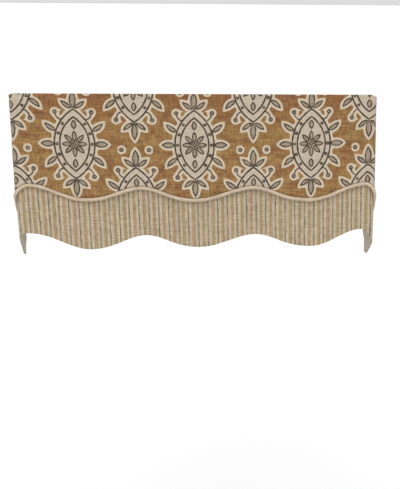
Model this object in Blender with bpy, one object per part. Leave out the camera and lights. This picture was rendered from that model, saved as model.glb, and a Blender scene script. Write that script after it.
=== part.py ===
"""Window valance: a printed overlay with a welted, waved edge, over a striped band with its own waved hem.

Front faces -Y and the returns run to +Y, towards the wall. +X is right and +Z is up. The origin is the middle
of the top edge, where the valance is held, and the cloth hangs below it. All sizes are in metres.
"""

import math
from collections import namedtuple

import bmesh
import bpy
from mathutils import Vector

# Outer shape
FRONT_WIDTH = 1.050
RETURN_DEPTH = 0.118
CORNER_RADIUS = 0.018
BAND_DROP = 0.445

# Cloth
OVERLAY_THICK = 0.0012
BAND_THICK = 0.0012
LINING_THICK = 0.0010
SEWN_GAP = 0.0003
FACING_HEIGHT = 0.040
LINING_SET_IN = 0.024
LINING_SET_UP = 0.0015

# Welt
WELT_RADIUS = 0.0050
WELT_GAP = 0.0006
WELT_CLEARANCE = 0.0009
WELT_BEVEL_STEPS = 2

# How the cloth hangs out of true
LEFT_LEAN = 0.0190
RIGHT_LEAN = -0.0050
LEFT_DRAW_IN = 0.009
RIGHT_DRAW_IN = 0.004
LEFT_CORNER_SAG = 0.003
RIGHT_CORNER_SAG = 0.005
LEFT_RETURN_SAG = 0.006
RIGHT_RETURN_SAG = 0.010

# Facets
FRONT_STEPS = 40
CORNER_STEPS = 6
RETURN_STEPS = 12
OVERLAY_ROWS = 6
FOLD_STEPS = 4
BAND_ROWS = 7
EDGE_STEPS = 24

# A waved edge, from the left wall edge to the right one, named by where it turns: three scallops with crests
# between them, a crest near each corner, and a tip on each return. Drops are measured down from the top edge.
# Fullness is how far the cut bulges below a plain wave on its way to the next turn, as a share of the rise.
Turn = namedtuple("Turn", "along drop fullness")
WELT_EDGE = (
    Turn(along=-0.620, drop=0.356, fullness=0.08),
    Turn(along=-0.484, drop=0.2615, fullness=0.06),
    Turn(along=-0.315, drop=0.303, fullness=0.05),
    Turn(along=-0.158, drop=0.2695, fullness=0.08),
    Turn(along=-0.006, drop=0.304, fullness=0.04),
    Turn(along=0.170, drop=0.267, fullness=0.12),
    Turn(along=0.328, drop=0.302, fullness=0.04),
    Turn(along=0.497, drop=0.2555, fullness=0.20),
    Turn(along=0.600, drop=0.348, fullness=0.00),
)
HEM_EDGE = (
    Turn(along=-0.620, drop=0.481, fullness=0.14),
    Turn(along=-0.507, drop=0.404, fullness=-0.07),
    Turn(along=-0.312, drop=0.450, fullness=0.10),
    Turn(along=-0.150, drop=0.4095, fullness=0.09),
    Turn(along=0.003, drop=0.444, fullness=0.00),
    Turn(along=0.176, drop=0.4075, fullness=0.10),
    Turn(along=0.334, drop=0.441, fullness=0.03),
    Turn(along=0.489, drop=0.391, fullness=0.16),
    Turn(along=0.590, drop=0.468, fullness=0.00),
)

# Soft folds that deepen towards the hem, as waves along the cloth
Fold = namedtuple("Fold", "wave_length depth crest")
FOLDS = (
    Fold(wave_length=0.327, depth=0.0045, crest=0.012),
    Fold(wave_length=0.211, depth=0.0022, crest=0.065),
    Fold(wave_length=0.139, depth=0.0009, crest=-0.040),
)
FOLD_GROWTH = 1.4

# Where the overlay's loose edge swings clear of the band
Flare = namedtuple("Flare", "along reach depth")
FLARES = (
    Flare(along=-0.265, reach=0.060, depth=0.0020),
    Flare(along=-0.065, reach=0.070, depth=0.0024),
    Flare(along=0.172, reach=0.075, depth=0.0040),
)
FLARE_GROWTH = 1.6

Finish = namedtuple("Finish", "colour roughness")
PRINTED_LINEN = Finish(colour=(0.40, 0.26, 0.14), roughness=0.90)
WELT_TWILL = Finish(colour=(0.62, 0.50, 0.35), roughness=0.85)
STRIPED_LINEN = Finish(colour=(0.54, 0.41, 0.26), roughness=0.90)
LINING_SATEEN = Finish(colour=(0.58, 0.54, 0.45), roughness=0.80)

# Layers, as distances out from the middle of the heading: overlay, band, lining, then the overlay turned down
STACK = 2 * OVERLAY_THICK + BAND_THICK + LINING_THICK + 3 * SEWN_GAP
HEADING_RADIUS = STACK / 2
BAND_OUT = HEADING_RADIUS - OVERLAY_THICK - SEWN_GAP
LINING_OUT = BAND_OUT - BAND_THICK - SEWN_GAP
WELT_OUT = BAND_OUT + WELT_CLEARANCE + WELT_RADIUS

HALF_FRONT = FRONT_WIDTH / 2 - HEADING_RADIUS
CORNER_START = HALF_FRONT - CORNER_RADIUS
CORNER_LENGTH = CORNER_RADIUS * math.pi / 2
HALF_LENGTH = CORNER_START + CORNER_LENGTH + RETURN_DEPTH - HEADING_RADIUS - CORNER_RADIUS


def smooth(t):
    """An ease from 0 to 1 as half a cosine wave."""
    t = min(max(t, 0.0), 1.0)
    return 0.5 - 0.5 * math.cos(math.pi * t)


def stations(set_in=0.0):
    """Distances along the cloth from the middle of the front, closest together round the corners."""
    end = HALF_LENGTH - set_in
    half = [CORNER_START * 2 * i / FRONT_STEPS for i in range(FRONT_STEPS // 2)]
    half += [CORNER_START + CORNER_LENGTH * i / CORNER_STEPS for i in range(CORNER_STEPS)]
    start = CORNER_START + CORNER_LENGTH
    half += [start + (end - start) * i / RETURN_STEPS for i in range(RETURN_STEPS + 1)]
    return [-s for s in reversed(half[1:])] + half


def edge_drop(edge, s):
    """How far below the top edge a waved edge lies. It is level past its end turns."""
    for turn, following in zip(edge, edge[1:]):
        if s <= following.along:
            break
    share = min(max((s - turn.along) / (following.along - turn.along), 0.0), 1.0)
    rise = following.drop - turn.drop
    bulge = turn.fullness * abs(rise) * math.sin(math.pi * share) ** 2
    return turn.drop + rise * smooth(share) + bulge


def plan(s):
    """Point and outward direction of the heading's middle line, seen from above."""
    side = math.copysign(1.0, s)
    past_front = abs(s) - CORNER_START
    if past_front <= 0:
        return Vector((s, 0, 0)), Vector((0, -1, 0))
    turn = min(past_front / CORNER_RADIUS, math.pi / 2)
    run = max(past_front - CORNER_LENGTH, 0.0)
    x = CORNER_START + CORNER_RADIUS * math.sin(turn)
    y = CORNER_RADIUS * (1 - math.cos(turn)) + run
    return Vector((side * x, y, 0)), Vector((side * math.sin(turn), -math.cos(turn), 0))


def fold_swing(s):
    return sum(f.depth * math.cos(2 * math.pi * (s - f.crest) / f.wave_length) for f in FOLDS)


def sag(s):
    """How far the top edge sinks: not at all along the front, a little at a corner, more towards the wall."""
    past_front = max(abs(s) - CORNER_START, 0.0)
    corner = LEFT_CORNER_SAG if s < 0 else RIGHT_CORNER_SAG
    wall = LEFT_RETURN_SAG if s < 0 else RIGHT_RETURN_SAG
    return corner * smooth(past_front / CORNER_LENGTH) + wall * past_front / (HALF_LENGTH - CORNER_START)


def middle_surface(s, drop):
    """The surface that every layer follows, with the soft folds and the lean of the hanging cloth."""
    point, outward = plan(s)
    hung = max(drop, 0.0) / BAND_DROP
    point = point + outward * fold_swing(s) * hung**FOLD_GROWTH
    across = point.x / HALF_FRONT
    lean = (LEFT_LEAN - RIGHT_LEAN) / 2 - across * (LEFT_LEAN + RIGHT_LEAN) / 2
    draw_in = -across * (LEFT_DRAW_IN if s < 0 else RIGHT_DRAW_IN) * max(point.y, 0.0) / RETURN_DEPTH
    return point + Vector((hung * (lean + draw_in), 0, -sag(s) - drop))


def outward_normal(s, drop, step=0.0005):
    along = middle_surface(s + step, drop) - middle_surface(s - step, drop)
    down = middle_surface(s, drop + step) - middle_surface(s, drop)
    return down.cross(along).normalized()


def hang(s, drop, out):
    """A point of the cloth: this far along it, below the top edge, and out from the middle surface."""
    return middle_surface(s, drop) + outward_normal(s, drop) * out


def overlay_out(s, drop):
    """How far out the overlay's outer face hangs: flat at the heading, at the middle of the welt at the edge."""
    flare = sum(f.depth * math.exp(-(((s - f.along) / f.reach) ** 2)) for f in FLARES)
    swing = WELT_OUT + OVERLAY_THICK / 2 + flare - HEADING_RADIUS
    return HEADING_RADIUS + swing * (max(drop, 0.0) / edge_drop(WELT_EDGE, s)) ** FLARE_GROWTH


def overlay_edge(s):
    """The overlay stops at the welt's back: as high as the round cord reaches at this place along it."""
    clear = WELT_RADIUS + WELT_GAP
    turns = [math.pi * (i / EDGE_STEPS - 0.5) for i in range(EDGE_STEPS + 1)]
    return min(edge_drop(WELT_EDGE, s + clear * math.sin(turn)) - clear * math.cos(turn) for turn in turns)


def finish(obj, look):
    material = bpy.data.materials.new(obj.name)
    material.use_nodes = True
    shader = material.node_tree.nodes["Principled BSDF"]
    shader.inputs["Base Color"].default_value = (*look.colour, 1)
    shader.inputs["Roughness"].default_value = look.roughness
    shader.inputs["Metallic"].default_value = 0.0
    obj.data.materials.append(material)


def add_object(name, data, parent):
    obj = bpy.data.objects.new(name, data)
    bpy.context.collection.objects.link(obj)
    obj.parent = parent
    return obj


def cloth_sheet(name, parent, along, rows, place, thick, look):
    """A grid laid on the hanging surface: place(s, row) gives its outer face, and Solidify adds the cloth."""
    mesh = bpy.data.meshes.new(name)
    grid = bmesh.new()
    bmesh.ops.create_grid(grid, x_segments=len(along) - 1, y_segments=rows, size=0.5)
    for vert in grid.verts:
        column = round((vert.co.x + 0.5) * (len(along) - 1))
        row = round((vert.co.y + 0.5) * rows)
        vert.co = place(along[column], row)
    grid.to_mesh(mesh)
    grid.free()
    mesh.shade_smooth()
    sheet = add_object(name, mesh, parent)
    cloth = sheet.modifiers.new("Cloth", "SOLIDIFY")
    cloth.thickness = thick
    cloth.offset = -1
    cloth.use_even_offset = True
    finish(sheet, look)
    return sheet


def overlay_point(s, row):
    """Rows run up the face, over the heading and down the facing behind it."""
    if row <= OVERLAY_ROWS:
        top = HEADING_RADIUS
        drop = top + (overlay_edge(s) - top) * (1 - row / OVERLAY_ROWS)
        return hang(s, drop, overlay_out(s, drop - top))
    if row <= OVERLAY_ROWS + FOLD_STEPS:
        turn = math.pi * (row - OVERLAY_ROWS) / FOLD_STEPS
        return hang(s, HEADING_RADIUS * (1 - math.sin(turn)), HEADING_RADIUS * math.cos(turn))
    return hang(s, FACING_HEIGHT, -HEADING_RADIUS)


def band_point(s, row):
    top = HEADING_RADIUS + SEWN_GAP
    return hang(s, top + (edge_drop(HEM_EDGE, s) - top) * (1 - row / BAND_ROWS), BAND_OUT)


def lining_point(s, row):
    top = HEADING_RADIUS + SEWN_GAP
    hem = edge_drop(HEM_EDGE, s) - LINING_SET_UP
    return hang(s, top + (hem - top) * (1 - row / BAND_ROWS), LINING_OUT)


def welt_cord(name, parent, along, look):
    """A round cord in its cloth, along the overlay's lower edge from wall edge to wall edge."""
    curve = bpy.data.curves.new(name, "CURVE")
    curve.dimensions = "3D"
    curve.bevel_depth = WELT_RADIUS
    curve.bevel_resolution = WELT_BEVEL_STEPS
    curve.use_fill_caps = True
    line = curve.splines.new("POLY")
    line.points.add(len(along) - 1)
    for point, s in zip(line.points, along):
        edge = overlay_edge(s)
        middle = overlay_out(s, edge - HEADING_RADIUS) - OVERLAY_THICK / 2
        point.co = (*hang(s, edge_drop(WELT_EDGE, s), middle), 1)
    cord = add_object(name, curve, parent)
    finish(cord, look)
    return cord


def main():
    for obj in list(bpy.data.objects):
        bpy.data.objects.remove(obj)
    valance = add_object("valance", None, None)
    along = stations()
    lining_along = stations(LINING_SET_IN)
    overlay_rows = OVERLAY_ROWS + FOLD_STEPS + 1
    cloth_sheet("overlay", valance, along, overlay_rows, overlay_point, OVERLAY_THICK, PRINTED_LINEN)
    welt_cord("welt", valance, along, WELT_TWILL)
    cloth_sheet("striped_band", valance, along, BAND_ROWS, band_point, BAND_THICK, STRIPED_LINEN)
    cloth_sheet("lining", valance, lining_along, BAND_ROWS, lining_point, LINING_THICK, LINING_SATEEN)


main()
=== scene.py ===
# %% [markdown]
# # A lined window valance
#
# The real thing is four pieces of cloth work sewn together: a printed overlay with a waved lower edge, a
# covered cord along that edge, a striped band under it with its own waved hem, and a plain lining behind. It
# hangs from its top edge, with a short return to the wall at each end.
#
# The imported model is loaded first. It fixes every size and place, in metres, with the front facing -Y and the
# origin at the middle of the top edge. Each piece below stands for one node of it.

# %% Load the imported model
import math
from collections import namedtuple
from functools import lru_cache

import bmesh
import bpy
from mathutils import Matrix, Vector, noise


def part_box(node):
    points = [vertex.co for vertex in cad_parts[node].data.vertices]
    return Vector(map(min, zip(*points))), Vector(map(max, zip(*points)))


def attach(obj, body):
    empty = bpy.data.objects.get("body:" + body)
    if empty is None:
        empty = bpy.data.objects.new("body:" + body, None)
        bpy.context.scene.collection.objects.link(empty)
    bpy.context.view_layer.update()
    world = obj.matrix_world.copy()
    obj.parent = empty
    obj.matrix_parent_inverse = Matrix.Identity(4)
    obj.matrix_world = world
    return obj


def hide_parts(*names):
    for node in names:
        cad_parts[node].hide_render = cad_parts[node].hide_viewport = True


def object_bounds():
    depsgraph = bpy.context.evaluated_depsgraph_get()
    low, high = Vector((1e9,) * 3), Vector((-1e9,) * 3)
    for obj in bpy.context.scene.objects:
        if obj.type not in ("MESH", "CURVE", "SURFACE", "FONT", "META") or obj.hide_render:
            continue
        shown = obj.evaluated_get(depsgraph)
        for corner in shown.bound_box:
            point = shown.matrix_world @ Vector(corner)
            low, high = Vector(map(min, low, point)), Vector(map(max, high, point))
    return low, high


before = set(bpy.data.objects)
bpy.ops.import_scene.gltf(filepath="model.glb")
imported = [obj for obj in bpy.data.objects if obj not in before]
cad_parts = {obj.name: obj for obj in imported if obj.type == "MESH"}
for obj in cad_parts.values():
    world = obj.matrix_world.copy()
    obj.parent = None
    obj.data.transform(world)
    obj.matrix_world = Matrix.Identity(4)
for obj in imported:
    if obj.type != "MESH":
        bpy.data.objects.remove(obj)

cad_low, cad_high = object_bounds()
cad_size = cad_high - cad_low
print("CAD box, mm:", [round(side * 1000, 1) for side in cad_size])

# %% [markdown]
# ## Camera
#
# A product picture of a hanging is taken from a few metres away with a longish lens, a little above it and
# looking slightly down. The camera's turn is built from three plain angles, in the order in which a tripod
# head has them: turned to the side, tipped down, and rolled a touch.

# %% Camera
CAMERA_PLACE = Vector((-0.085, -3.038, 0.254))
CAMERA_TURN = math.radians(1.99)
CAMERA_TIP = math.radians(12.81)
CAMERA_ROLL = math.radians(0.41)
LENS = 78.5
SENSOR = 36.0

camera_data = bpy.data.cameras.new("camera")
camera_data.lens = LENS
camera_data.sensor_width = SENSOR
camera_data.clip_end = 2000
camera = bpy.data.objects.new("camera", camera_data)
bpy.context.collection.objects.link(camera)
turned = Matrix.Rotation(-CAMERA_TURN, 4, "Z")
tipped = Matrix.Rotation(math.pi / 2 - CAMERA_TIP, 4, "X")
rolled = Matrix.Rotation(CAMERA_ROLL, 4, "Z")
camera.matrix_world = Matrix.Translation(CAMERA_PLACE) @ turned @ tipped @ rolled
bpy.context.scene.camera = camera
print("camera to heading, m:", round(CAMERA_PLACE.length, 2))

# %% [markdown]
# ## Floor and light
#
# A white studio: a pale floor that runs to the horizon, a bright even sky, and one large soft lamp high in
# front. The lamp could be an area light, but a sun with a wide angle lights the far floor as evenly as the
# near, so the floor stays one plain tone behind the cloth.

# %% Floor
FLOOR_DROP = 2.0
FLOOR_REACH = 1200.0

stage_mesh = bpy.data.meshes.new("floor")
stage_bmesh = bmesh.new()
bmesh.ops.create_grid(stage_bmesh, x_segments=1, y_segments=1, size=FLOOR_REACH)
bmesh.ops.translate(stage_bmesh, verts=stage_bmesh.verts, vec=(0, 0, -FLOOR_DROP))
stage_bmesh.to_mesh(stage_mesh)
stage_bmesh.free()
floor = bpy.data.objects.new("floor", stage_mesh)
bpy.context.collection.objects.link(floor)
floor_paint = bpy.data.materials.new("floor_paint")
floor_paint.use_nodes = True
floor_shader = floor_paint.node_tree.nodes["Principled BSDF"]
floor_shader.inputs["Base Color"].default_value = (0.93, 0.93, 0.93, 1)
floor_shader.inputs["Roughness"].default_value = 1.0
floor_shader.inputs["Specular IOR Level"].default_value = 0.0
stage_mesh.materials.append(floor_paint)

# %% Light
SKY_STRENGTH = 0.72
LAMP_STRENGTH = 1.55
LAMP_ANGLE = math.radians(35)
LAMP_HEIGHT = math.radians(52)
LAMP_SIDE = math.radians(-14)

world = bpy.data.worlds.new("studio")
world.use_nodes = True
world.node_tree.nodes["Background"].inputs["Color"].default_value = (1, 1, 1, 1)
world.node_tree.nodes["Background"].inputs["Strength"].default_value = SKY_STRENGTH
bpy.context.scene.world = world
bpy.context.scene.view_settings.view_transform = "Standard"

lamp_data = bpy.data.lights.new("lamp", "SUN")
lamp_data.energy = LAMP_STRENGTH
lamp_data.angle = LAMP_ANGLE
lamp = bpy.data.objects.new("lamp", lamp_data)
lamp.rotation_euler = (math.pi / 2 - LAMP_HEIGHT, 0, LAMP_SIDE)
bpy.context.collection.objects.link(lamp)

# %% [markdown]
# ## The hanging surface
#
# Every layer of the valance follows one surface. Seen from above it is a long front, two rounded corners and
# two short returns. Below the heading it takes soft folds that grow towards the hem. A point of the cloth is
# named by how far along it lies from the middle of the front, how far it drops below the top edge, and how
# far out it stands from that surface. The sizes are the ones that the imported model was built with, so each
# finer piece lies in its own solid's place, and the print-outs below compare the two.

# %% Sizes of the valance
FRONT_WIDTH = 1.050
RETURN_DEPTH = 0.118
CORNER_RADIUS = 0.018
BAND_DROP = 0.445

OVERLAY_THICK = 0.0012
BAND_THICK = 0.0012
LINING_THICK = 0.0010
SEWN_GAP = 0.0003
STACK = 2 * OVERLAY_THICK + BAND_THICK + LINING_THICK + 3 * SEWN_GAP
HEADING_RADIUS = STACK / 2
BAND_OUT = HEADING_RADIUS - OVERLAY_THICK - SEWN_GAP
LINING_OUT = BAND_OUT - BAND_THICK - SEWN_GAP

WELT_RADIUS = 0.0050
WELT_GAP = 0.0006
WELT_CLEARANCE = 0.0009
WELT_OUT = BAND_OUT + WELT_CLEARANCE + WELT_RADIUS

HALF_FRONT = FRONT_WIDTH / 2 - HEADING_RADIUS
CORNER_START = HALF_FRONT - CORNER_RADIUS
CORNER_LENGTH = CORNER_RADIUS * math.pi / 2
HALF_LENGTH = CORNER_START + CORNER_LENGTH + RETURN_DEPTH - HEADING_RADIUS - CORNER_RADIUS
print("cloth from wall edge to wall edge, m:", round(2 * HALF_LENGTH, 3))

# %% [markdown]
# Each waved edge is named by where it turns, from the left wall edge to the right one: three scallops with
# crests between them, a crest near each corner, and a tip on each return. A half wave joins one turn to the
# next. Its fullness is how far the cut bulges below a plain wave, as a share of the rise, because a scallop
# is rounder below than above.

# %% The two waved edges
Turn = namedtuple("Turn", "along drop fullness")
WELT_EDGE = (
    Turn(along=-0.620, drop=0.356, fullness=0.08),
    Turn(along=-0.484, drop=0.2615, fullness=0.06),
    Turn(along=-0.315, drop=0.303, fullness=0.05),
    Turn(along=-0.158, drop=0.2695, fullness=0.08),
    Turn(along=-0.006, drop=0.304, fullness=0.04),
    Turn(along=0.170, drop=0.267, fullness=0.12),
    Turn(along=0.328, drop=0.302, fullness=0.04),
    Turn(along=0.497, drop=0.2555, fullness=0.20),
    Turn(along=0.600, drop=0.348, fullness=0.00),
)
HEM_EDGE = (
    Turn(along=-0.620, drop=0.481, fullness=0.14),
    Turn(along=-0.507, drop=0.404, fullness=-0.07),
    Turn(along=-0.312, drop=0.450, fullness=0.10),
    Turn(along=-0.150, drop=0.4095, fullness=0.09),
    Turn(along=0.003, drop=0.444, fullness=0.00),
    Turn(along=0.176, drop=0.4075, fullness=0.10),
    Turn(along=0.334, drop=0.441, fullness=0.03),
    Turn(along=0.489, drop=0.391, fullness=0.16),
    Turn(along=0.590, drop=0.468, fullness=0.00),
)
EDGE_STEPS = 24


def smooth(t):
    """An ease from 0 to 1 as half a cosine wave."""
    t = min(max(t, 0.0), 1.0)
    return 0.5 - 0.5 * math.cos(math.pi * t)


def edge_drop(edge, s):
    """How far below the top edge a waved edge lies. It is level past its end turns."""
    for turn, following in zip(edge, edge[1:]):
        if s <= following.along:
            break
    share = min(max((s - turn.along) / (following.along - turn.along), 0.0), 1.0)
    rise = following.drop - turn.drop
    bulge = turn.fullness * abs(rise) * math.sin(math.pi * share) ** 2
    return turn.drop + rise * smooth(share) + bulge


@lru_cache(maxsize=None)
def overlay_edge(s):
    """The overlay stops at the welt's back: as high as the round cord reaches at this place along it."""
    clear = WELT_RADIUS + WELT_GAP
    turns = [math.pi * (i / EDGE_STEPS - 0.5) for i in range(EDGE_STEPS + 1)]
    return min(edge_drop(WELT_EDGE, s + clear * math.sin(turn)) - clear * math.cos(turn) for turn in turns)


print("lowest and highest of the hem, mm:", [round(turn.drop * 1000) for turn in HEM_EDGE])

# %% Plan, folds and lean
Fold = namedtuple("Fold", "wave_length depth crest")
FOLDS = (
    Fold(wave_length=0.327, depth=0.0045, crest=0.012),
    Fold(wave_length=0.211, depth=0.0022, crest=0.065),
    Fold(wave_length=0.139, depth=0.0009, crest=-0.040),
)
FOLD_GROWTH = 1.4
LEFT_LEAN = 0.0190
RIGHT_LEAN = -0.0050
LEFT_DRAW_IN = 0.009
RIGHT_DRAW_IN = 0.004
LEFT_CORNER_SAG = 0.003
RIGHT_CORNER_SAG = 0.005
LEFT_RETURN_SAG = 0.006
RIGHT_RETURN_SAG = 0.010


def plan(s):
    """Point and outward direction of the heading's middle line, seen from above."""
    side = math.copysign(1.0, s)
    past_front = abs(s) - CORNER_START
    if past_front <= 0:
        return Vector((s, 0, 0)), Vector((0, -1, 0))
    turn = min(past_front / CORNER_RADIUS, math.pi / 2)
    run = max(past_front - CORNER_LENGTH, 0.0)
    x = CORNER_START + CORNER_RADIUS * math.sin(turn)
    y = CORNER_RADIUS * (1 - math.cos(turn)) + run
    return Vector((side * x, y, 0)), Vector((side * math.sin(turn), -math.cos(turn), 0))


def fold_swing(s):
    return sum(f.depth * math.cos(2 * math.pi * (s - f.crest) / f.wave_length) for f in FOLDS)


def sag(s):
    """How far the top edge sinks: not at all along the front, a little at a corner, more towards the wall."""
    past_front = max(abs(s) - CORNER_START, 0.0)
    corner = LEFT_CORNER_SAG if s < 0 else RIGHT_CORNER_SAG
    wall = LEFT_RETURN_SAG if s < 0 else RIGHT_RETURN_SAG
    return corner * smooth(past_front / CORNER_LENGTH) + wall * past_front / (HALF_LENGTH - CORNER_START)


# %% [markdown]
# The imported solids hold the main folds. Real linen also keeps faint creases and dents, placed here one by one
# as
# soft troughs and ridges: each is a short stroke on the cloth with a width and a depth, and no two are alike.
# A trace of smooth noise roughens what lies between them. All layers share them, so none cuts through
# another.

# %% Creases and dents
Crease = namedtuple("Crease", "along drop run fall width depth")
CREASES = (
    Crease(along=-0.470, drop=0.300, run=0.020, fall=0.150, width=0.016, depth=-0.0016),
    Crease(along=-0.392, drop=0.330, run=-0.012, fall=0.110, width=0.020, depth=0.0012),
    Crease(along=-0.305, drop=0.120, run=0.060, fall=0.050, width=0.026, depth=-0.0009),
    Crease(along=-0.255, drop=0.360, run=0.010, fall=0.100, width=0.015, depth=-0.0013),
    Crease(along=-0.150, drop=0.340, run=-0.018, fall=0.120, width=0.022, depth=0.0014),
    Crease(along=-0.110, drop=0.090, run=-0.050, fall=0.070, width=0.030, depth=0.0008),
    Crease(along=-0.030, drop=0.350, run=0.014, fall=0.110, width=0.018, depth=-0.0012),
    Crease(along=0.045, drop=0.160, run=0.040, fall=0.060, width=0.028, depth=-0.0008),
    Crease(along=0.120, drop=0.335, run=-0.010, fall=0.120, width=0.020, depth=0.0013),
    Crease(along=0.205, drop=0.345, run=0.016, fall=0.100, width=0.016, depth=-0.0014),
    Crease(along=0.262, drop=0.110, run=-0.045, fall=0.080, width=0.028, depth=0.0009),
    Crease(along=0.330, drop=0.355, run=-0.012, fall=0.090, width=0.019, depth=-0.0011),
    Crease(along=0.430, drop=0.310, run=0.008, fall=0.130, width=0.018, depth=0.0015),
    Crease(along=0.485, drop=0.330, run=-0.010, fall=0.120, width=0.014, depth=-0.0014),
    Crease(along=0.535, drop=0.340, run=0.000, fall=0.080, width=0.026, depth=0.0050),
    Crease(along=0.640, drop=0.325, run=0.000, fall=0.075, width=0.024, depth=-0.0070),
    Crease(along=-0.640, drop=0.468, run=0.000, fall=0.030, width=0.024, depth=0.0055),
    Crease(along=-0.535, drop=0.350, run=0.000, fall=0.080, width=0.026, depth=0.0036),
)
RUMPLE_DEPTH = 0.0007
RUMPLE_SIZE = 0.055
HEADING_HOLD = 0.060


def crease_swing(s, drop):
    """How far the creases and the faint rumple push the cloth out at a point."""
    total = RUMPLE_DEPTH * noise.noise(Vector((s / RUMPLE_SIZE, drop / RUMPLE_SIZE, 0)))
    for c in CREASES:
        share = ((s - c.along) * c.run + (drop - c.drop) * c.fall) / (c.run**2 + c.fall**2)
        share = min(max(share, 0.0), 1.0)
        away = math.hypot(s - c.along - share * c.run, drop - c.drop - share * c.fall) / c.width
        if away < 3:
            total += c.depth * math.exp(-away * away)
    return total * smooth(drop / HEADING_HOLD)


def middle_surface(s, drop):
    """The surface that every layer follows, with the folds, the creases and the lean of the hanging cloth."""
    point, outward = plan(s)
    hung = max(drop, 0.0) / BAND_DROP
    point = point + outward * (fold_swing(s) * hung**FOLD_GROWTH + crease_swing(s, drop))
    across = point.x / HALF_FRONT
    lean = (LEFT_LEAN - RIGHT_LEAN) / 2 - across * (LEFT_LEAN + RIGHT_LEAN) / 2
    draw_in = -across * (LEFT_DRAW_IN if s < 0 else RIGHT_DRAW_IN) * max(point.y, 0.0) / RETURN_DEPTH
    return point + Vector((hung * (lean + draw_in), 0, -sag(s) - drop))


def hang(s, drop, out, step=0.0005):
    """A point of the cloth: this far along it, below the top edge, and out from the middle surface."""
    here = middle_surface(s, drop)
    along = middle_surface(s + step, drop) - here
    down = middle_surface(s, drop + step) - here
    return here + down.cross(along).normalized() * out


# %% [markdown]
# ## Cloth sheets
#
# Each layer is one grid laid on that surface, made with `create_grid` and then moved point by point, and
# given its thickness by Solidify on the inner side. A cloth simulation could hang it instead, but the folds
# of a lined valance are few and shallow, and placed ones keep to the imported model. The grid's columns lie
# closest together round the corners. A map in metres, named `cloth`, holds each point's place on the flat
# cloth, so that print, stripes and weave follow the folds as they do on the real thing. It runs a little wide
# towards one end, where more cloth is eased on to the heading, and its rows dip in the middle, as they do in
# a width that is laid on by hand.

# %% Sheet maker
FRONT_STEPS = 260
CORNER_STEPS = 12
RETURN_STEPS = 24
CLOTH_EASE = 0.03
CLOTH_BOW = 0.036
CLOTH_TILT = 0.005


def stations(end=HALF_LENGTH):
    """Distances along the cloth from the middle of the front."""
    half = [CORNER_START * 2 * i / FRONT_STEPS for i in range(FRONT_STEPS // 2)]
    half += [CORNER_START + CORNER_LENGTH * i / CORNER_STEPS for i in range(CORNER_STEPS)]
    start = CORNER_START + CORNER_LENGTH
    half += [start + (end - start) * i / RETURN_STEPS for i in range(RETURN_STEPS + 1)]
    return [-s for s in reversed(half[1:])] + half


def add_piece(name, mesh, material, node):
    """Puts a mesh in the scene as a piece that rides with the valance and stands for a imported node."""
    piece = bpy.data.objects.new(name, mesh)
    bpy.context.collection.objects.link(piece)
    mesh.materials.append(material)
    mesh.shade_smooth()
    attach(piece, "root")
    if node:
        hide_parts(node)
    return piece


def compare(piece, node):
    """Prints how far a finished piece's corners stand from its node's, in millimetres."""
    low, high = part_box(node)
    shown = piece.evaluated_get(bpy.context.evaluated_depsgraph_get())
    corners = [Vector(corner) for corner in shown.bound_box]
    mine_low = Vector([min(corner[axis] for corner in corners) for axis in range(3)])
    mine_high = Vector([max(corner[axis] for corner in corners) for axis in range(3)])
    triangles = sum(len(face.vertices) - 2 for face in shown.data.polygons)
    off = [round(1000 * gap, 1) for gap in (*(mine_low - Vector(low)), *(mine_high - Vector(high)))]
    print(piece.name, "triangles", triangles, "off its node by, mm:", off)


def laid_grid(columns, rows, place):
    """A grid with a column of points for each item of one list and a row for each item of the other.

    place gives a point and its spot on the flat cloth, along and down, or None for no cloth."""
    grid = bmesh.new()
    last_column = len(columns) - 1
    last_row = len(rows) - 1
    bmesh.ops.create_grid(grid, x_segments=last_column, y_segments=last_row, size=0.5)
    spots = {}
    unwanted = []
    for vert in grid.verts:
        column = columns[round((vert.co.x + 0.5) * last_column)]
        row = rows[round((vert.co.y + 0.5) * last_row)]
        placed = place(column, row)
        if placed:
            vert.co, spots[vert] = placed
        else:
            unwanted.append(vert)
    bmesh.ops.delete(grid, geom=unwanted, context="VERTS")
    flat = grid.loops.layers.uv.new("cloth")
    for face in grid.faces:
        for loop in face.loops:
            along, drop = spots[loop.vert]
            dip = CLOTH_BOW * along**2 + CLOTH_TILT * along
            loop[flat].uv = (along + CLOTH_EASE * along**2, -drop - dip)
    return grid


def cloth_sheet(name, material, node, columns, rows, place, thick):
    grid = laid_grid(columns, rows, place)
    mesh = bpy.data.meshes.new(name)
    grid.to_mesh(mesh)
    grid.free()
    sheet = add_piece(name, mesh, material, node)
    cloth = sheet.modifiers.new("cloth", "SOLIDIFY")
    cloth.thickness = thick
    cloth.offset = -1
    cloth.use_even_offset = True
    compare(sheet, node)
    return sheet


def flat_area(height, end=HALF_LENGTH, steps=400):
    """The area of a piece of cloth that is cut height(s) long at each distance s along it."""
    width = 2 * end / steps
    return sum(height(-end + (i + 0.5) * width) * width for i in range(steps))


# %% [markdown]
# ## Materials by nodes
#
# Cloth colour could be painted on an image, but here it is worked out by nodes from the `cloth` map, so it
# stays sharp at any size. A small helper adds the nodes and reads almost like a sum. Nodes are added in the
# order in which they are worked out, which keeps a long drawing light for the renderer.

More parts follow.
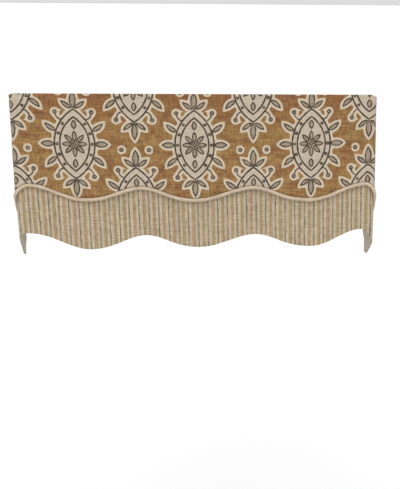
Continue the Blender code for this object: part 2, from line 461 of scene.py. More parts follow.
# %% Node helper
class Nodes:
    """Adds shader nodes to one new material."""

    def __init__(self, name):
        self.material = bpy.data.materials.new(name)
        self.material.use_nodes = True
        self.tree = self.material.node_tree
        self.shader = self.tree.nodes["Principled BSDF"]

    def add(self, kind, **settings):
        node = self.tree.nodes.new(kind)
        for name, value in settings.items():
            setattr(node, name, value)
        return node

    def put(self, socket, value):
        if isinstance(value, bpy.types.NodeSocket):
            self.tree.links.new(value, socket)
        else:
            socket.default_value = value

    def maths(self, operation, *values, clamp=False):
        node = self.add("ShaderNodeMath", operation=operation, use_clamp=clamp)
        for socket, value in zip(node.inputs, values):
            self.put(socket, value)
        return node.outputs["Value"]

    def vector(self, operation, *values):
        node = self.add("ShaderNodeVectorMath", operation=operation)
        for socket, value in zip(node.inputs, values):
            self.put(socket, value)
        return node.outputs["Value" if operation in ("DISTANCE", "DOT_PRODUCT", "LENGTH") else "Vector"]

    def combine(self, x, y):
        node = self.add("ShaderNodeCombineXYZ")
        self.put(node.inputs["X"], x)
        self.put(node.inputs["Y"], y)
        return node.outputs["Vector"]

    def ramp(self, value, start, end, low=0.0, high=1.0, curve="LINEAR"):
        """Maps start to low and end to high, and holds the value past them."""
        node = self.add("ShaderNodeMapRange", interpolation_type=curve)
        sockets = ("Value", "From Min", "From Max", "To Min", "To Max")
        for name, number in zip(sockets, (value, start, end, low, high)):
            self.put(node.inputs[name], number)
        return node.outputs["Result"]

    def noise(self, place, scale=1.0, detail=2.0, roughness=0.5):
        node = self.add("ShaderNodeTexNoise")
        self.put(node.inputs["Vector"], place)
        self.put(node.inputs["Scale"], scale)
        self.put(node.inputs["Detail"], detail)
        self.put(node.inputs["Roughness"], roughness)
        return node.outputs["Fac"]

    def mix(self, share, one, other, blend="MIX"):
        """A colour between two, by share, or one blended with the other."""
        node = self.add("ShaderNodeMix", data_type="RGBA", blend_type=blend)
        self.put(node.inputs[0], share)
        self.put(node.inputs[6], one)
        self.put(node.inputs[7], other)
        return node.outputs[2]

    def finish(self, colour, roughness, height, depth):
        """Sends the results to the shader. depth is the real height of the bumps, in metres."""
        bump = self.add("ShaderNodeBump")
        self.put(bump.inputs["Distance"], depth)
        self.put(bump.inputs["Height"], height)
        self.put(self.shader.inputs["Base Color"], colour)
        self.put(self.shader.inputs["Roughness"], roughness)
        self.put(self.shader.inputs["Normal"], bump.outputs["Normal"])
        return self.material


def rgb(red, green, blue):
    """A colour given as a screen shows it, from 0 to 255, in the linear light that shaders use."""
    parts = [channel / 255 for channel in (red, green, blue)]
    linear = [part / 12.92 if part <= 0.04045 else ((part + 0.055) / 1.055) ** 2.4 for part in parts]
    return (*linear, 1)


# %% [markdown]
# ## Linen weave
#
# Slub linen is a plain weave of uneven yarns. Its threads pass over and under each other in a chequer, which
# a product of two sine waves gives: high where a thread lies on top, low where it dips. The unevenness is
# noise stretched along each thread direction, long and thin, and some yarns are thick for a few centimetres.

# %% Weave and slub
THREAD = 0.0011


def linen(nodes):
    """Returns the place on the flat cloth, the weave's height, and the slub, both from about 0 to 1."""
    flat = nodes.add("ShaderNodeUVMap", uv_map="cloth").outputs["UV"]
    split = nodes.add("ShaderNodeSeparateXYZ")
    nodes.put(split.inputs["Vector"], flat)
    u, v = split.outputs["X"], split.outputs["Y"]
    waver = nodes.noise(flat, scale=90, detail=2)
    waver = nodes.maths("MULTIPLY", waver, 1.6)
    across = nodes.maths("SINE", nodes.maths("MULTIPLY_ADD", u, math.pi / THREAD, waver))
    down = nodes.maths("SINE", nodes.maths("MULTIPLY_ADD", v, math.pi / THREAD, waver))
    weave = nodes.maths("MULTIPLY_ADD", nodes.maths("MULTIPLY", across, down), 0.5, 0.5)
    weft = nodes.combine(nodes.maths("MULTIPLY", u, 22), nodes.maths("MULTIPLY", v, 300))
    warp = nodes.combine(nodes.maths("MULTIPLY", u, 270), nodes.maths("MULTIPLY", v, 44))
    yarns = [nodes.noise(place, detail=2, roughness=0.6) for place in (weft, warp)]
    slub = nodes.ramp(nodes.maths("ADD", *yarns), 0.78, 1.22)
    return flat, u, v, weave, slub


# %% [markdown]
# ## The print
#
# The overlay carries medallions in a half-drop repeat, the commonest one in furnishing cloth: each column
# lies half a repeat lower than the next. The medallion is this lesson's own, built up from a pointed oval as
# a beginner would with a compass: two nested ovals with berries between them, an eight-petal rosette inside,
# leaves and curled stalks round them, a sprig above and below, and loose berries between the medallions. A
# strap or stroke is an arc between two points. A leaf is the space between two arcs, with its outline inked.
# A cream ground reaches a set margin past every line, and a smooth minimum runs its parts together. One half
# is drawn and the other mirrored. Each shape gives a distance, below zero inside it.

# %% The medallion, in centimetres from its middle, right half only
Disc = namedtuple("Disc", "x y radius")
Arc = namedtuple("Arc", "x1 y1 x2 y2 bulge")
Leaf = namedtuple("Leaf", "x1 y1 x2 y2 left right")
Ring = namedtuple("Ring", "x y radius")

OVAL_TOP = 10.6
OVAL_FOOT = -9.6
OVAL_HALF_WIDTH = 5.6
OVAL_INSET = 2.2
FRAME_WIDTH = 1.5

STRAPS = (
    Arc(0.0, OVAL_TOP, 0.0, OVAL_FOOT, OVAL_HALF_WIDTH),
    Arc(0.0, OVAL_TOP - OVAL_INSET, 0.0, OVAL_FOOT + OVAL_INSET, OVAL_HALF_WIDTH - FRAME_WIDTH),
)
STROKES = (
    Arc(3.25, 7.6, 4.9, 9.4, -0.5),
    Arc(3.25, -6.6, 4.9, -8.6, 0.5),
)
LEAVES = (
    Leaf(0.0, 4.2, 0.0, 1.3, 0.55, -0.55),
    Leaf(0.6, 1.1, 2.55, 3.05, 0.52, -0.52),
    Leaf(0.8, 0.5, 3.4, 0.5, 0.55, -0.55),
    Leaf(0.6, -0.1, 2.55, -2.05, 0.52, -0.52),
    Leaf(0.0, -0.3, 0.0, -3.2, 0.55, -0.55),
    Leaf(0.0, 7.3, 0.0, 5.0, 0.60, -0.60),
    Leaf(0.0, -4.0, 0.0, -6.3, 0.60, -0.60),
    Leaf(5.0, 4.4, 7.9, 6.4, 0.35, -0.75),
    Leaf(5.75, 0.5, 9.2, 0.5, 0.75, -0.75),
    Leaf(5.0, -3.4, 7.8, -5.6, 0.75, -0.35),
    Leaf(0.0, 15.6, 0.0, 11.0, 0.80, -0.80),
    Leaf(0.5, 11.0, 3.1, 12.9, 0.40, -0.60),
    Leaf(0.0, -10.0, 0.0, -14.6, 0.75, -0.75),
    Leaf(0.5, -10.0, 3.0, -11.8, 0.60, -0.40),
)
RINGS = (
    Ring(0.0, 0.5, 0.45),
    Ring(5.1, 9.8, 0.45),
    Ring(5.1, -9.0, 0.45),
    Ring(3.9, 15.8, 0.45),
    Ring(3.06, 6.4, 0.28),
    Ring(4.39, 3.6, 0.32),
    Ring(4.85, 0.5, 0.32),
    Ring(4.39, -2.6, 0.32),
    Ring(3.06, -5.4, 0.28),
)
STRAP_PEN = 0.24
STROKE_PEN = 0.18

GROUND_MARGIN = 0.85
GROUND_BLEND = 0.9
GROUND_DISCS = (
    Disc(0.0, 12.2, 1.6),
    Disc(0.0, -11.2, 1.5),
)
GROUND_OVAL = Leaf(0.0, OVAL_TOP, 0.0, OVAL_FOOT, OVAL_HALF_WIDTH, -OVAL_HALF_WIDTH)


def circle_through(x1, y1, x2, y2, bulge):
    """Centre and radius of the arc from one point to another that bulges this far to the left."""
    run, rise = x2 - x1, y2 - y1
    chord = math.hypot(run, rise)
    radius = (chord**2 / 4 + bulge**2) / (2 * abs(bulge))
    inward = bulge - math.copysign(radius, bulge)
    return (x1 + x2) / 2 - rise / chord * inward, (y1 + y2) / 2 + run / chord * inward, radius


# %% Drawing with distances
def from_circle(nodes, place, x, y, radius):
    return nodes.maths("SUBTRACT", nodes.vector("DISTANCE", place, (x, y, 0)), radius)


def ring_distance(nodes, place, ring):
    return from_circle(nodes, place, *ring)


def arc_distance(nodes, place, arc):
    """Distance from an arc's line, held to the disc that its two ends span."""
    line = nodes.maths("ABSOLUTE", from_circle(nodes, place, *circle_through(*arc)))
    reach = math.hypot(arc.x2 - arc.x1, arc.y2 - arc.y1) / 2
    held = from_circle(nodes, place, (arc.x1 + arc.x2) / 2, (arc.y1 + arc.y2) / 2, reach)
    return nodes.maths("MAXIMUM", line, held)


def leaf_distance(nodes, place, leaf):
    """Below zero between the leaf's left arc and its right arc."""
    sides = []
    for bulge, inside in ((leaf.left, 1), (leaf.right, -1)):
        side = from_circle(nodes, place, *circle_through(leaf.x1, leaf.y1, leaf.x2, leaf.y2, bulge))
        if bulge * inside < 0:
            side = nodes.maths("MULTIPLY", side, -1)
        sides.append(side)
    return nodes.maths("MAXIMUM", *sides)


def join(nodes, whole, part, blend=0.0):
    """The nearer of two distances, run together where they meet if a blend is given."""
    if whole is None:
        return part
    return nodes.maths("SMOOTH_MIN" if blend else "MINIMUM", whole, part, blend)


def medallion(nodes, place):
    """Returns distances from the cream ground, the ink and the tinted leaves, in centimetres."""
    drawn = ink = tint = None
    for arcs, pen in ((STRAPS, STRAP_PEN), (STROKES, STROKE_PEN)):
        for arc in arcs:
            line = arc_distance(nodes, place, arc)
            ink = join(nodes, ink, nodes.maths("SUBTRACT", line, pen))
            drawn = join(nodes, drawn, line, GROUND_BLEND)
    for shapes, distance in ((LEAVES, leaf_distance), (RINGS, ring_distance)):
        for shape in shapes:
            inside = distance(nodes, place, shape)
            ink = join(nodes, ink, nodes.maths("SUBTRACT", nodes.maths("ABSOLUTE", inside), STROKE_PEN))
            tint = join(nodes, tint, inside)
            drawn = join(nodes, drawn, inside, GROUND_BLEND)
    ground = nodes.maths("SUBTRACT", drawn, GROUND_MARGIN)
    for disc in GROUND_DISCS:
        ground = join(nodes, ground, from_circle(nodes, place, *disc), GROUND_BLEND)
    ground = join(nodes, ground, leaf_distance(nodes, place, GROUND_OVAL))
    return ground, ink, tint


print("shapes in half a medallion:", sum(map(len, (STRAPS, STROKES, LEAVES, RINGS))))

# %% Half-drop repeat
REPEAT_ACROSS = 0.3395
REPEAT_DOWN = 0.327
REPEAT_START = -0.001
DRAWN_HEIGHT = 102.5
COLUMN_DROP = 0.5
MIDDLE_DROP = 0.150
MEDALLION_TOP = 17.2
CELL_HALF_WIDTH = 8.6
CELL_SWING = 3.4
CELL_LIFT = 0.6


def half_drop(nodes, u, v):
    """The place in the nearest medallion, in centimetres from its middle, mirrored onto the right half."""
    cell, height = REPEAT_ACROSS * 100, REPEAT_DOWN * DRAWN_HEIGHT
    from_column = nodes.maths("MULTIPLY", nodes.maths("SUBTRACT", u, REPEAT_START), 100)
    across = nodes.maths("PINGPONG", from_column, cell / 2)
    up = nodes.maths("MULTIPLY", nodes.maths("ADD", v, MIDDLE_DROP), DRAWN_HEIGHT)
    lifted = nodes.maths("ADD", up, CELL_LIFT)
    swing = nodes.maths("COSINE", nodes.maths("MULTIPLY", lifted, 2 * math.pi / height))
    border = nodes.maths("MULTIPLY_ADD", swing, CELL_SWING, CELL_HALF_WIDTH)
    other = nodes.maths("GREATER_THAN", across, border)
    x = nodes.maths("ABSOLUTE", nodes.maths("MULTIPLY_ADD", other, -cell / 2, across))
    up = nodes.maths("MULTIPLY_ADD", other, height * COLUMN_DROP, up)
    y = nodes.maths("WRAP", up, MEDALLION_TOP, MEDALLION_TOP - height)
    return nodes.combine(x, y)


# %% Printed linen
GOLD = rgb(154, 120, 74)
RUST = rgb(134, 92, 57)
OLIVE = rgb(120, 102, 58)
PRINT_CREAM = rgb(186, 172, 153)
PRINT_RIM = rgb(201, 187, 163)
PRINT_TINT = rgb(138, 123, 101)
INK = rgb(58, 45, 31)


def printed_linen():
    nodes = Nodes("printed_linen")
    flat, u, v, weave, slub = linen(nodes)
    patches = nodes.noise(nodes.vector("MULTIPLY", flat, (14, 40, 1)), detail=4, roughness=0.7)
    ground = nodes.mix(nodes.ramp(patches, 0.42, 0.62), GOLD, RUST)
    drifts = nodes.noise(nodes.vector("MULTIPLY", flat, (60, 13, 1)), detail=4, roughness=0.7)
    ground = nodes.mix(nodes.ramp(drifts, 0.52, 0.68, 0.0, 0.8), ground, OLIVE)
    # The ground turns redder and darker over its top 12 cm, towards the heading.
    redder_towards_top = nodes.ramp(v, -0.12, 0.0, 0.0, 0.85)
    ground = nodes.mix(redder_towards_top, ground, RUST)
    place = half_drop(nodes, u, v)
    wobble = nodes.noise(nodes.vector("MULTIPLY", flat, (60, 60, 1)), detail=1)
    cream_distance, ink_distance, tint_distance = medallion(nodes, place)
    bleed = nodes.ramp(slub, 0.0, 1.0, -0.08, 0.08)
    cream_share = nodes.ramp(nodes.maths("ADD", cream_distance, bleed), 0.06, -0.06)
    cream = nodes.mix(nodes.ramp(cream_distance, -0.70, -0.10), PRINT_CREAM, PRINT_RIM)
    colour = nodes.mix(cream_share, ground, cream)
    tint_share = nodes.ramp(nodes.maths("ADD", tint_distance, bleed), 0.02, -0.08, 0.0, 0.75)
    colour = nodes.mix(tint_share, colour, PRINT_TINT)
    pen = nodes.ramp(wobble, 0.3, 0.7, -0.05, 0.05)
    ink_share = nodes.ramp(nodes.maths("SUBTRACT", ink_distance, pen), 0.04, -0.04, 0.0, 0.95)
    colour = nodes.mix(ink_share, colour, INK)
    darkest = nodes.ramp(cream_share, 0.0, 1.0, 0.62, 0.88)
    lightest = nodes.ramp(cream_share, 0.0, 1.0, 1.28, 1.14)
    shade = nodes.ramp(slub, 0.0, 1.0, darkest, lightest)
    # Painted shade: the colour is darker where the weave's threads dip and a touch lighter on their tops.
    shade = nodes.maths("MULTIPLY", shade, nodes.ramp(weave, 0.0, 1.0, 0.90, 1.06))
    colour = nodes.vector("MULTIPLY", colour, shade)
    height = nodes.maths("MULTIPLY_ADD", slub, 0.8, weave)
    nodes.shader.inputs["Sheen Weight"].default_value = 0.08
    nodes.shader.inputs["Specular IOR Level"].default_value = 0.25
    return nodes.finish(colour, nodes.ramp(weave, 0.0, 1.0, 0.95, 0.84), height, 0.0003)


# %% [markdown]
# ## Striped linen
#
# The band is woven in narrow stripes: a thin grey line, cream, a wider tan stripe, cream again. A woven
# stripe is dyed yarn, so each one keeps its edge but changes tint along its length. The repeat is worked out
# from the distance along the cloth, and each stripe's own number gives it a tint that differs from its
# neighbours'.

# %% Striped linen
STRIPE = 0.02864
STRIPE_START = 0.0013
STRIPE_SKEW = 0.012
STRIPE_CREAM = rgb(182, 166, 142)
STRIPE_TAN = rgb(160, 137, 104)
STRIPE_OLIVE = rgb(155, 141, 103)
STRIPE_ROSE = rgb(168, 138, 113)
STRIPE_LINE = rgb(112, 99, 88)


def striped_linen():
    nodes = Nodes("striped_linen")
    flat, u, v, weave, slub = linen(nodes)
    leaned = nodes.maths("MULTIPLY_ADD", v, STRIPE_SKEW, u)
    fray = nodes.ramp(slub, 0.0, 1.0, -0.02, 0.02)
    count = nodes.maths("MULTIPLY_ADD", nodes.maths("SUBTRACT", leaned, STRIPE_START), 1 / STRIPE, fray)
    number = nodes.maths("FLOOR", count)
    share = nodes.maths("SUBTRACT", count, number)
    from_line = nodes.maths("PINGPONG", share, 0.5)
    from_tan = nodes.maths("ABSOLUTE", nodes.maths("SUBTRACT", share, 0.52))
    tint_place = nodes.combine(nodes.maths("MULTIPLY", number, 3.7), nodes.maths("MULTIPLY", v, 9))
    tints = nodes.noise(tint_place, detail=2)
    tan = nodes.mix(nodes.ramp(tints, 0.45, 0.62), STRIPE_TAN, STRIPE_OLIVE)
    tan = nodes.mix(nodes.ramp(tints, 0.50, 0.36), tan, STRIPE_ROSE)
    colour = nodes.mix(nodes.ramp(from_tan, 0.20, 0.14), STRIPE_CREAM, tan)
    fade_place = nodes.combine(nodes.maths("MULTIPLY", number, 5.3), nodes.maths("MULTIPLY", v, 26))
    fade = nodes.noise(fade_place, detail=2)
    line = nodes.ramp(from_line, 0.095, 0.055, 0.0, 1.0)
    line = nodes.maths("MULTIPLY", line, nodes.ramp(fade, 0.35, 0.65, 0.50, 1.0))
    colour = nodes.mix(line, colour, STRIPE_LINE)
    end_place = nodes.combine(nodes.maths("MULTIPLY", u, 260), nodes.maths("MULTIPLY", v, 4))
    ends = nodes.noise(end_place, detail=2)
    slub_shade = nodes.ramp(slub, 0.0, 1.0, 0.78, 1.22)
    shade = nodes.maths("MULTIPLY", slub_shade, nodes.ramp(ends, 0.3, 0.7, 0.88, 1.12))
    # Painted shade: the colour is darker where the weave's threads dip and a touch lighter on their tops.
    shade = nodes.maths("MULTIPLY", shade, nodes.ramp(weave, 0.0, 1.0, 0.88, 1.08))
    colour = nodes.vector("MULTIPLY", colour, shade)
    height = nodes.maths("MULTIPLY_ADD", slub, 0.8, weave)
    nodes.shader.inputs["Sheen Weight"].default_value = 0.08
    nodes.shader.inputs["Specular IOR Level"].default_value = 0.25
    return nodes.finish(colour, nodes.ramp(weave, 0.0, 1.0, 0.95, 0.84), height, 0.0003)


# %% [markdown]
# ## Welt twill and lining
#
# The cord's cover is a cream twill cut on the bias, so its fine ribs run round the cord at a slant. The
# lining is a smooth ecru cotton with a much finer weave and no slub to speak of.

# %% Welt twill
TWILL_RIB = 0.0013
WELT_CREAM = rgb(211, 192, 168)
WELT_SHADE = rgb(184, 163, 138)


def welt_twill():
    nodes = Nodes("welt_twill")
    flat = nodes.add("ShaderNodeUVMap", uv_map="cloth").outputs["UV"]
    slant = nodes.vector("DOT_PRODUCT", flat, (1.0, 1.0, 0))
    waver = nodes.noise(flat, scale=160, detail=2)
    turn = nodes.maths("MULTIPLY_ADD", slant, 2 * math.pi / TWILL_RIB, nodes.maths("MULTIPLY", waver, 2.5))
    rib = nodes.maths("MULTIPLY_ADD", nodes.maths("SINE", turn), 0.5, 0.5)
    soil = nodes.noise(flat, scale=28, detail=3)
    colour = nodes.mix(nodes.ramp(soil, 0.35, 0.70), WELT_CREAM, WELT_SHADE)
    # Painted shade: the colour is darker in the grooves between the twill's ribs and a touch lighter on the
    # ribs.
    shade = nodes.ramp(rib, 0.0, 1.0, 0.86, 1.04)
    colour = nodes.vector("MULTIPLY", colour, shade)
    nodes.shader.inputs["Sheen Weight"].default_value = 0.10
    nodes.shader.inputs["Specular IOR Level"].default_value = 0.30
    return nodes.finish(colour, nodes.ramp(rib, 0.0, 1.0, 0.90, 0.78), rib, 0.0002)


# %% Lining sateen
LINING_THREAD = 0.0006
# Both lining colours are set darker than the ecru cotton's own, as painted shade: the lining is seen inside the
# returns.
LINING_ECRU_IN_SHADE = rgb(172, 162, 147)
LINING_SHADE = rgb(167, 157, 141)


def lining_sateen():
    nodes = Nodes("lining_sateen")
    flat = nodes.add("ShaderNodeUVMap", uv_map="cloth").outputs["UV"]
    split = nodes.add("ShaderNodeSeparateXYZ")
    nodes.put(split.inputs["Vector"], flat)
    threads = nodes.maths("SINE", nodes.maths("MULTIPLY", split.outputs["X"], 2 * math.pi / LINING_THREAD))
    floats = nodes.noise(nodes.vector("MULTIPLY", flat, (1500, 300, 1)), detail=1)
    weave = nodes.maths("MULTIPLY_ADD", threads, 0.25, floats)
    clouds = nodes.noise(flat, scale=22, detail=3)
    colour = nodes.mix(nodes.ramp(clouds, 0.35, 0.70), LINING_ECRU_IN_SHADE, LINING_SHADE)
    # Painted shade: the colour is darker where the weave's threads dip and a touch lighter on their tops.
    shade = nodes.ramp(weave, 0.1, 0.9, 0.94, 1.05)
    colour = nodes.vector("MULTIPLY", colour, shade)
    nodes.shader.inputs["Sheen Weight"].default_value = 0.05
    nodes.shader.inputs["Specular IOR Level"].default_value = 0.35
    return nodes.finish(colour, nodes.ramp(weave, 0.1, 0.9, 0.80, 0.68), weave, 0.0001)


# %% Cotton thread
THREAD_CREAM = rgb(206, 194, 170)
THREAD_TWIST = 0.0008


def cotton_thread():
    nodes = Nodes("cotton_thread")
    place = nodes.add("ShaderNodeTexCoord").outputs["Object"]
    slant = nodes.vector("DOT_PRODUCT", place, (1.0, 0.0, 1.0))
    twist = nodes.maths("SINE", nodes.maths("MULTIPLY", slant, 2 * math.pi / THREAD_TWIST))
    # Painted shade: the colour is darker in the grooves of the twist and a touch lighter on its ridges.
    shade = nodes.ramp(twist, -1.0, 1.0, 0.82, 1.04)
    colour = nodes.vector("MULTIPLY", THREAD_CREAM[:3], shade)
    return nodes.finish(colour, nodes.ramp(twist, -1.0, 1.0, 0.80, 0.62), twist, 0.0001)


PRINTED_LINEN = printed_linen()
STRIPED_LINEN = striped_linen()
WELT_TWILL = welt_twill()
LINING_SATEEN = lining_sateen()
COTTON_THREAD = cotton_thread()
print("nodes in the print:", len(PRINTED_LINEN.node_tree.nodes))

# %% [markdown]
# ## The overlay
#
# One width of printed linen. From its waved edge it runs up the face, turns over the heading and comes down
# behind as a facing, whose own edge is turned under and stitched. Its lower edge hangs a little clear of the
# band and flares where the cloth swings out. Small puckers rise from the seam that holds the welt, because a
# curved seam is always a little longer or shorter than the cloth it is sewn to.

# %% Overlay
Flare = namedtuple("Flare", "along reach depth")
FLARES = (
    Flare(along=-0.265, reach=0.060, depth=0.0020),
    Flare(along=-0.065, reach=0.070, depth=0.0024),
    Flare(along=0.172, reach=0.075, depth=0.0040),
)
FLARE_GROWTH = 1.6
FACING_HEIGHT = 0.040
FACE_ROWS = 62
FOLD_ROWS = 10
FACING_ROWS = 8
FACING_TURN_ROWS = 5
PUCKER_HEIGHT = 0.022
PUCKER_DEPTH = 0.0005
PUCKER_SPACING = 0.019


def overlay_out(s, drop):
    """How far out the overlay's outer face hangs: flat at the heading, clear of the welt at the edge."""
    flare = sum(f.depth * math.exp(-(((s - f.along) / f.reach) ** 2)) for f in FLARES)
    swing = WELT_OUT + OVERLAY_THICK / 2 + flare - HEADING_RADIUS
    return HEADING_RADIUS + swing * (max(drop, 0.0) / edge_drop(WELT_EDGE, s)) ** FLARE_GROWTH


def pucker(s, above_edge):
    """A small pleat of cloth above the welt's seam, uneven from one to the next, none on the seam."""
    reach = above_edge / PUCKER_HEIGHT
    uneven = noise.noise(Vector((s / PUCKER_SPACING, 7.3, 0)))
    return PUCKER_DEPTH * uneven * 4 * reach * math.exp(-2 * reach * reach)


def overlay_rows():
    """Rows as pairs: the stretch of cloth that a row is on, and how far along that stretch it lies."""
    rows = [("face", i / FACE_ROWS) for i in range(FACE_ROWS)]
    rows += [("heading", i / FOLD_ROWS) for i in range(FOLD_ROWS)]
    rows += [("facing", i / FACING_ROWS) for i in range(FACING_ROWS)]
    return rows + [("turn", i / FACING_TURN_ROWS) for i in range(FACING_TURN_ROWS + 1)]


def overlay_place(s, row):
    stretch, share = row
    top = HEADING_RADIUS
    behind = FACING_HEIGHT - OVERLAY_THICK
    if stretch == "face":
        drop = top + (overlay_edge(s) - top) * (1 - share)
        out = overlay_out(s, drop - top) + pucker(s, overlay_edge(s) - drop)
        return hang(s, drop, out), (s, drop)
    if stretch == "heading":
        turn = math.pi * share
        flat = top - HEADING_RADIUS * turn
        return hang(s, top * (1 - math.sin(turn)), HEADING_RADIUS * math.cos(turn)), (s, flat)
    flat_top = top - math.pi * HEADING_RADIUS
    if stretch == "facing":
        drop = top + (behind - top) * share
        return hang(s, drop, -HEADING_RADIUS), (s, flat_top - (drop - top))
    turn = math.pi / 2 * share
    drop = behind + OVERLAY_THICK * math.sin(turn)
    out = -HEADING_RADIUS + OVERLAY_THICK * (1 - math.cos(turn)) * 0.6
    return hang(s, drop, out), (s, flat_top - (drop - top))


overlay = cloth_sheet(
    "overlay_cloth", PRINTED_LINEN, "overlay", stations(), overlay_rows(), overlay_place, OVERLAY_THICK
)

# %% [markdown]
# ## The welt
#
# A cotton cord in a bias cover, sewn along the overlay's edge. A curve with a round bevel would do, but a
# grid rolled into a tube carries a map for the twill. Its long edges meet and are merged, and its ends are
# drawn in to a close, as the cover is tucked there. It swells and narrows slightly, as a hand-covered cord
# does.

# %% Welt
WELT_SIDES = 18
WELT_SWELL = 0.00022
WELT_SWELL_LENGTH = 0.024
WELT_END = 0.0035
WELT_END_RINGS = 6

Ring3 = namedtuple("Ring3", "s middle outward upward radius")


def welt_middle(s):
    edge = overlay_edge(s)
    out = overlay_out(s, edge - HEADING_RADIUS) - OVERLAY_THICK / 2
    return hang(s, edge_drop(WELT_EDGE, s), out)


def welt_rings():
    along = [s for s in stations() if abs(s) < HALF_LENGTH - WELT_END]
    for i in range(WELT_END_RINGS + 1):
        end = HALF_LENGTH - WELT_END * (1 - math.sin(math.pi / 2 * i / WELT_END_RINGS))
        along = [-end] + along + [end]
    rings = []
    for s in along:
        ahead = (welt_middle(s + 0.001) - welt_middle(s - 0.001)).normalized()
        outward = plan(s)[1]
        outward = (outward - ahead * outward.dot(ahead)).normalized()
        swell = 1 + WELT_SWELL / WELT_RADIUS * noise.noise(Vector((s / WELT_SWELL_LENGTH, 3.1, 0)))
        inset = min((HALF_LENGTH - abs(s)) / WELT_END, 1.0)
        drawn_in = math.sqrt(max(1 - (1 - inset) ** 2, 0.0))
        rings.append(Ring3(s, welt_middle(s), outward, outward.cross(ahead), WELT_RADIUS * swell * drawn_in))
    return rings


def welt_place(ring, side):
    turn = 2 * math.pi * side / WELT_SIDES
    spoke = ring.outward * math.cos(turn) + ring.upward * math.sin(turn)
    return ring.middle + spoke * ring.radius, (ring.s, WELT_RADIUS * turn)


tube = laid_grid(welt_rings(), range(WELT_SIDES + 1), welt_place)
bmesh.ops.remove_doubles(tube, verts=tube.verts, dist=0.00001)
bmesh.ops.recalc_face_normals(tube, faces=tube.faces)
welt_mesh = bpy.data.meshes.new("welt")
tube.to_mesh(welt_mesh)
tube.free()
welt = add_piece("welt_cord", welt_mesh, WELT_TWILL, "welt")
compare(welt, "welt")

# %% [markdown]
# ## The striped band
#
# The band runs up behind the overlay to the heading. Its hem rolls round to the back by a couple of
# millimetres, where the lining meets it, and each side is turned in as a hem that shows inside the return.
# Both turns are rows or columns of the same grid, bent round a small radius. Where a turned side meets the
# rolled hem the spare cloth is cut away, as it is at a real corner.

# %% Striped band
BAND_ROWS = 84
ROLL_STEPS = 6
ROLL_RADIUS = BAND_OUT
ROLL_BACK = 0.0012
SIDE_HEM = 0.030
SIDE_HEM_STEPS = 6


def turned(reach):
    """Where a point lies that has gone this far past the start of a fold: how far on, and how far out."""
    turn = reach / ROLL_RADIUS
    if turn <= 0:
        return reach, ROLL_RADIUS
    if turn < math.pi:
        return ROLL_RADIUS * math.sin(turn), ROLL_RADIUS * math.cos(turn)
    return ROLL_RADIUS * math.pi - reach, -ROLL_RADIUS


def band_columns():
    """Distances along the cloth, which on the turned sides run on past the wall edge."""
    fold = HALF_LENGTH - ROLL_RADIUS
    arc = math.pi * ROLL_RADIUS
    side = [fold + arc * i / ROLL_STEPS for i in range(1, ROLL_STEPS + 1)]
    side += [fold + arc + SIDE_HEM * i / SIDE_HEM_STEPS for i in range(1, SIDE_HEM_STEPS + 1)]
    return [-s for s in reversed(side)] + stations(fold) + side


def band_rows():
    """Rows as the share of the way down the face, or past 1 as a distance round the hem."""
    arc = math.pi * ROLL_RADIUS
    rows = [i / BAND_ROWS for i in range(BAND_ROWS + 1)]
    rows += [1 + arc * i / ROLL_STEPS for i in range(1, ROLL_STEPS + 1)]
    rows.append(1 + arc + ROLL_BACK)
    return rows[::-1]


def band_place(along, row):
    fold = HALF_LENGTH - ROLL_RADIUS
    past_fold, side_out = turned(abs(along) - fold)
    s = math.copysign(fold + past_fold, along)
    top = HEADING_RADIUS + SEWN_GAP
    foot = edge_drop(HEM_EDGE, s) - ROLL_RADIUS
    if row <= 1:
        drop = top + (foot - top) * row
        return hang(s, drop, side_out), (along, drop)
    if abs(along) > fold:
        return None
    past_foot, hem_out = turned(row - 1)
    return hang(s, foot + past_foot, hem_out), (along, foot + row - 1)


band = cloth_sheet(
    "band_cloth", STRIPED_LINEN, "striped_band", band_columns(), band_rows(), band_place, BAND_THICK
)

# %% [markdown]
# ## The lining
#
# Plain cotton behind the band, from the heading to just short of the rolled hem. Its side edges lie over the
# band's turned-in sides, so there it steps back by a cloth's thickness.

# %% Lining
LINING_ROWS = 60
LINING_OVERLAP = 0.006
LINING_SET_UP = 0.0030
LINING_STEP = 0.004
LINING_END = HALF_LENGTH - SIDE_HEM + LINING_OVERLAP


def lining_place(s, row):
    top = HEADING_RADIUS + SEWN_GAP
    hem = edge_drop(HEM_EDGE, s) - LINING_SET_UP
    drop = hem + (top - hem) * row / LINING_ROWS
    stepped = smooth((abs(s) - LINING_END + LINING_OVERLAP + LINING_STEP) / LINING_STEP)
    return hang(s, drop, LINING_OUT - (BAND_THICK + SEWN_GAP / 2) * stepped), (s, drop)


lining = cloth_sheet(
    "lining_cloth", LINING_SATEEN, "lining", stations(LINING_END), range(LINING_ROWS + 1), lining_place,
    LINING_THICK
)

# %% [markdown]
# ## Stitches
#
# The facing behind the heading is hemmed to the lining by hand, and so are the lining's side edges. Each
# stitch is a small stretched ball, half sunk in the cloth. A few hundred of these want few faces each.

# %% Stitches
STITCH_LENGTH = 0.0034
STITCH_PITCH = 0.0058
STITCH_THICK = 0.0006
STITCH_SLANT = 0.35


def add_stitch(stitches, point, ahead, outward):
    """One stitch that lies along ahead, a touch proud of the cloth on its outward side."""
    across = outward.cross(ahead).normalized()
    turn = Matrix((ahead, across, outward)).transposed().to_4x4()
    size = Matrix.Diagonal((STITCH_LENGTH / 2, STITCH_THICK / 2, STITCH_THICK / 2, 1))
    place = Matrix.Translation(point) @ turn @ size
    bmesh.ops.create_uvsphere(stitches, u_segments=6, v_segments=5, radius=1.0, matrix=place)


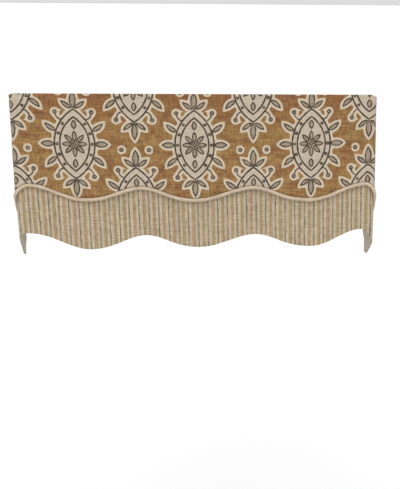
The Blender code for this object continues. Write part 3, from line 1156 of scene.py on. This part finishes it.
def stitch_row(stitches, point_at, start, end):
    """Stitches from start to end along a line of the cloth's inner face, each turned a little askew."""
    count = int((end - start) / STITCH_PITCH)
    for i in range(count):
        t = start + (i + 0.5) * (end - start) / count
        here, ahead = point_at(t, 0.0), (point_at(t + 0.001, 0.0) - point_at(t - 0.001, 0.0)).normalized()
        outward = (point_at(t, -0.001) - here).normalized()
        askew = STITCH_SLANT + 0.25 * noise.noise(Vector((i * 1.37, start, 0)))
        ahead = ahead * math.cos(askew) + outward.cross(ahead) * math.sin(askew)
        add_stitch(stitches, here, ahead, outward)


def facing_line(s, out):
    return hang(s, FACING_HEIGHT, -HEADING_RADIUS + out)


def lining_line(side):
    inner_face = LINING_OUT - BAND_THICK - SEWN_GAP / 2 - LINING_THICK
    return lambda drop, out: hang(side * LINING_END, drop, inner_face + out)


stitches = bmesh.new()
stitch_row(stitches, facing_line, -HALF_LENGTH + 0.004, HALF_LENGTH - 0.004)
for side in (-1, 1):
    lowest = edge_drop(HEM_EDGE, side * LINING_END) - LINING_SET_UP
    stitch_row(stitches, lining_line(side), FACING_HEIGHT + 0.004, lowest - 0.002)
stitch_mesh = bpy.data.meshes.new("stitches")
stitches.to_mesh(stitch_mesh)
stitches.free()
hand_stitches = add_piece("hand_stitches", stitch_mesh, COTTON_THREAD, None)
print("stitch faces:", len(stitch_mesh.polygons))

# %% [markdown]
# ## Cloth sizes
#
# The area of cloth that each sheet was cut from is worked out and printed. The cuts have waved edges, so their
# areas are added up in narrow strips instead of taken from a rectangle.


overlay_extra = math.pi * HEADING_RADIUS + FACING_HEIGHT
overlay_area = flat_area(lambda s: overlay_edge(s) - HEADING_RADIUS + overlay_extra)

band_sides = SIDE_HEM * (HEM_EDGE[0].drop + HEM_EDGE[-1].drop)
band_area = flat_area(lambda s: edge_drop(HEM_EDGE, s)) + band_sides

lining_area = flat_area(lambda s: edge_drop(HEM_EDGE, s) - LINING_SET_UP, end=LINING_END)
print("flat areas, m2:", [round(area, 3) for area in (overlay_area, band_area, lining_area)])
